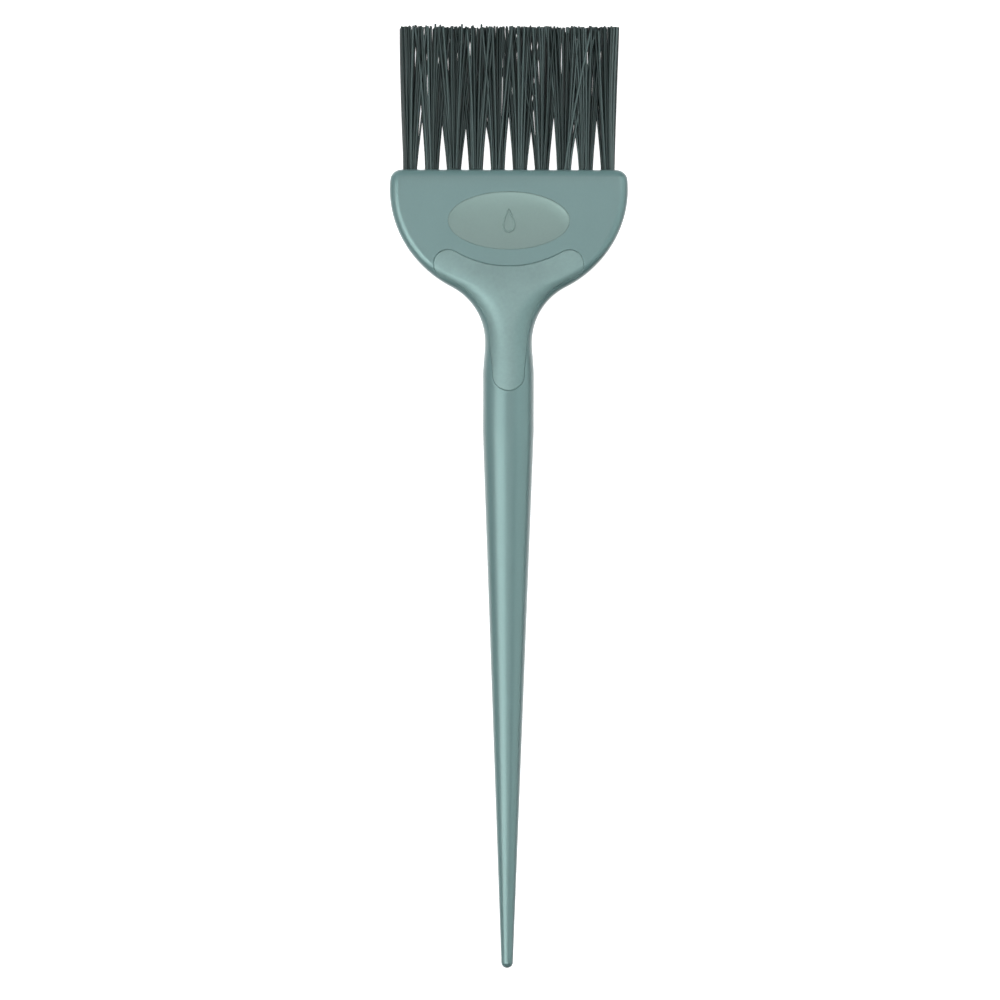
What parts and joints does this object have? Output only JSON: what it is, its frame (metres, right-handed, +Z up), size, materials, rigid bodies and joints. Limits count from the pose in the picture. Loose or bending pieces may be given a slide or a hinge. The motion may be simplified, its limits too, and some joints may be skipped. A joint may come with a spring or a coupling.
{
  "type": "hair tint brush",
  "caption": "Flat brush for spreading hair colour, with a rounded flat head, a row of stiff bristle tufts, a soft grip pad and a long tapered tail handle.",
  "frame": {"origin": "on the surface the brush lies on, under the middle of its length and width", "axes": "+X across the head to the right seen from the front, +Y along the brush from the tail to the bristle tips, +Z up out of the front face"},
  "size_m": [0.0554, 0.22, 0.01],
  "materials": {
    "satin_plastic": "satin moulded polypropylene, dusty teal",
    "soft_grip": "matt soft-touch elastomer, dusty teal",
    "badge_plastic": "satin oval inset, greyer teal",
    "bristle": "dark grey-green nylon filaments, satin",
    "anchor_wire": "flat drawn wire"
  },
  "bodies": {
    "handle": {"badge": "badge_plastic", "handle_body": "satin_plastic", "soft_grip": "soft_grip", "tuft_anchor_01": "anchor_wire", "tuft_anchor_02": "anchor_wire", "tuft_anchor_03": "anchor_wire", "tuft_anchor_04": "anchor_wire", "tuft_anchor_05": "anchor_wire", "tuft_anchor_06": "anchor_wire", "tuft_anchor_07": "anchor_wire", "tuft_anchor_08": "anchor_wire", "tuft_anchor_09": "anchor_wire", "tuft_anchor_10": "anchor_wire", "tuft_foot_01": "bristle", "tuft_foot_02": "bristle", "tuft_foot_03": "bristle", "tuft_foot_04": "bristle", "tuft_foot_05": "bristle", "tuft_foot_06": "bristle", "tuft_foot_07": "bristle", "tuft_foot_08": "bristle", "tuft_foot_09": "bristle", "tuft_foot_10": "bristle"},
    "bristles": {"tuft_01": "bristle", "tuft_02": "bristle", "tuft_03": "bristle", "tuft_04": "bristle", "tuft_05": "bristle", "tuft_06": "bristle", "tuft_07": "bristle", "tuft_08": "bristle", "tuft_09": "bristle", "tuft_10": "bristle"}
  },
  "joints": [
    {"name": "bristle_flex", "type": "hinge", "parent": "handle", "child": "bristles", "pos_m": [0, 0.08108, 0.00501], "axis": [1, 0, 0], "range_deg": [-35, 35], "stiffness_Nm_per_rad": 0.14}
  ]
}
